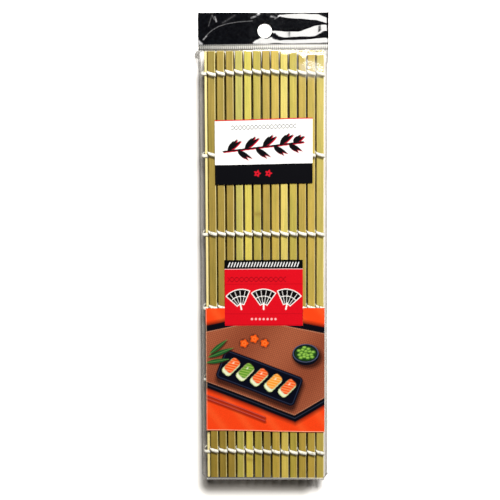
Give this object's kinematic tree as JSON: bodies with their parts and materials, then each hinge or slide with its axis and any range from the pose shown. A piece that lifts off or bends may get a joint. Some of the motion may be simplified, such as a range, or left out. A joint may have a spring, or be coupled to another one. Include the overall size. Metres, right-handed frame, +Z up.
{
  "type": "sushi rolling mat in pouch",
  "caption": "Bamboo sushi rolling mat folded in three layers inside a clear film pouch with printed areas and a black hanging header.",
  "frame": {"origin": "middle of the pack's footprint, on the table it lies on", "axes": "+X across the pack towards the mat's free end, +Y along the slats towards the hanging header, +Z up from the table"},
  "size_m": [0.073, 0.263, 0.0122],
  "materials": {
    "bamboo": "satin",
    "twine": "matt twisted cotton",
    "film": "clear gloss film",
    "header": "gloss film printed black",
    "seal": "crimped film",
    "print_white": "gloss print",
    "print_black": "gloss print",
    "print_red": "gloss print",
    "print_picture": "gloss print"
  },
  "bodies": {
    "bottom_layer": {"bottom_slats": "bamboo", "bottom_twine": "twine"},
    "right_fold": {"right_fold_slat": "bamboo", "right_fold_twine": "twine"},
    "middle_layer": {"middle_slats": "bamboo", "middle_twine": "twine"},
    "left_fold": {"left_fold_slat": "bamboo", "left_fold_twine": "twine"},
    "top_01": {"top_slat_01": "bamboo", "top_twine_01": "twine"},
    "top_02": {"top_slat_02": "bamboo", "top_twine_02": "twine"},
    "top_03": {"top_slat_03": "bamboo", "top_twine_03": "twine"},
    "top_04": {"top_slat_04": "bamboo", "top_twine_04": "twine"},
    "top_05": {"top_slat_05": "bamboo", "top_twine_05": "twine"},
    "top_06": {"top_slat_06": "bamboo", "top_twine_06": "twine"},
    "top_07": {"top_slat_07": "bamboo", "top_twine_07": "twine"},
    "top_08": {"top_slat_08": "bamboo", "top_twine_08": "twine"},
    "top_09": {"top_slat_09": "bamboo", "top_twine_09": "twine"},
    "top_10": {"top_slat_10": "bamboo", "top_twine_10": "twine"},
    "top_11": {"top_slat_11": "bamboo", "top_twine_11": "twine"},
    "top_12": {"top_slat_12": "bamboo", "top_twine_12": "twine"},
    "top_13": {"top_slat_13": "bamboo", "top_twine_13": "twine"},
    "pouch": {"film_back": "film", "film_front": "film", "label_white": "print_white", "label_band": "print_black", "label_strip": "print_black", "label_red": "print_red", "picture_panel": "print_picture"},
    "header_flap": {"seal_strip": "seal", "header": "header"}
  },
  "joints": [
    {"name": "unfold", "type": "hinge", "parent": "bottom_layer", "child": "right_fold", "pos_m": [0.02903, 0, 0.00227], "axis": [0, 1, 0], "range_deg": [0, 91.77]},
    {"name": "unfold_middle", "type": "hinge", "parent": "right_fold", "child": "middle_layer", "pos_m": [0.02888, 0, 0.00727], "axis": [0, 1, 0], "range_deg": [0, 91.77]},
    {"name": "unfold_left", "type": "hinge", "parent": "middle_layer", "child": "left_fold", "pos_m": [-0.0311, 0, 0.00496], "axis": [0, -1, 0], "range_deg": [0, 91.77]},
    {"name": "unfold_top", "type": "hinge", "parent": "left_fold", "child": "top_01", "pos_m": [-0.03125, 0, 0.00996], "axis": [0, -1, 0], "range_deg": [0, 91.77]},
    {"name": "roll", "type": "hinge", "parent": "top_01", "child": "top_02", "pos_m": [-0.02625, 0, 0.01141], "axis": [0, -1, 0], "range_deg": [0, 20], "deforming": ["film_front", "label_white", "label_band", "label_strip", "label_red", "picture_panel"]},
    {"name": "roll_02", "type": "hinge", "parent": "top_02", "child": "top_03", "pos_m": [-0.02125, 0, 0.01141], "axis": [0, -1, 0], "range_deg": [0, 20]},
    {"name": "roll_03", "type": "hinge", "parent": "top_03", "child": "top_04", "pos_m": [-0.01625, 0, 0.01141], "axis": [0, -1, 0], "range_deg": [0, 20]},
    {"name": "roll_04", "type": "hinge", "parent": "top_04", "child": "top_05", "pos_m": [-0.01125, 0, 0.01141], "axis": [0, -1, 0], "range_deg": [0, 20]},
    {"name": "roll_05", "type": "hinge", "parent": "top_05", "child": "top_06", "pos_m": [-0.00625, 0, 0.01141], "axis": [0, -1, 0], "range_deg": [0, 20]},
    {"name": "roll_06", "type": "hinge", "parent": "top_06", "child": "top_07", "pos_m": [-0.00125, 0, 0.01141], "axis": [0, -1, 0], "range_deg": [0, 20]},
    {"name": "roll_07", "type": "hinge", "parent": "top_07", "child": "top_08", "pos_m": [0.00375, 0, 0.01141], "axis": [0, -1, 0], "range_deg": [0, 20]},
    {"name": "roll_08", "type": "hinge", "parent": "top_08", "child": "top_09", "pos_m": [0.00875, 0, 0.01141], "axis": [0, -1, 0], "range_deg": [0, 20]},
    {"name": "roll_09", "type": "hinge", "parent": "top_09", "child": "top_10", "pos_m": [0.01375, 0, 0.01141], "axis": [0, -1, 0], "range_deg": [0, 20]},
    {"name": "roll_10", "type": "hinge", "parent": "top_10", "child": "top_11", "pos_m": [0.01875, 0, 0.01141], "axis": [0, -1, 0], "range_deg": [0, 20]},
    {"name": "roll_11", "type": "hinge", "parent": "top_11", "child": "top_12", "pos_m": [0.02375, 0, 0.01141], "axis": [0, -1, 0], "range_deg": [0, 20]},
    {"name": "roll_12", "type": "hinge", "parent": "top_12", "child": "top_13", "pos_m": [0.02875, 0, 0.01141], "axis": [0, -1, 0], "range_deg": [0, 20]},
    {"name": "pouch_slide", "type": "slide", "parent": "bottom_layer", "child": "pouch", "axis": [0, 1, 0], "range_m": [0, 0.28]},
    {"name": "header_fold", "type": "hinge", "parent": "pouch", "child": "header_flap", "pos_m": [0, 0.1107, 0.0004], "axis": [1, 0, 0], "range_deg": [0, 85]}
  ],
  "couplings": [
    {"joint": "unfold_middle", "follows": "unfold", "ratio": 1},
    {"joint": "unfold_left", "follows": "unfold", "ratio": 1},
    {"joint": "unfold_top", "follows": "unfold", "ratio": 1},
    {"joint": "pouch_slide", "follows": "unfold", "m_per_rad": 0.17481},
    {"joint": "roll_02", "follows": "roll", "ratio": 1},
    {"joint": "roll_03", "follows": "roll", "ratio": 1},
    {"joint": "roll_04", "follows": "roll", "ratio": 1},
    {"joint": "roll_05", "follows": "roll", "ratio": 1},
    {"joint": "roll_06", "follows": "roll", "ratio": 1},
    {"joint": "roll_07", "follows": "roll", "ratio": 1},
    {"joint": "roll_08", "follows": "roll", "ratio": 1},
    {"joint": "roll_09", "follows": "roll", "ratio": 1},
    {"joint": "roll_10", "follows": "roll", "ratio": 1},
    {"joint": "roll_11", "follows": "roll", "ratio": 1},
    {"joint": "roll_12", "follows": "roll", "ratio": 1}
  ]
}
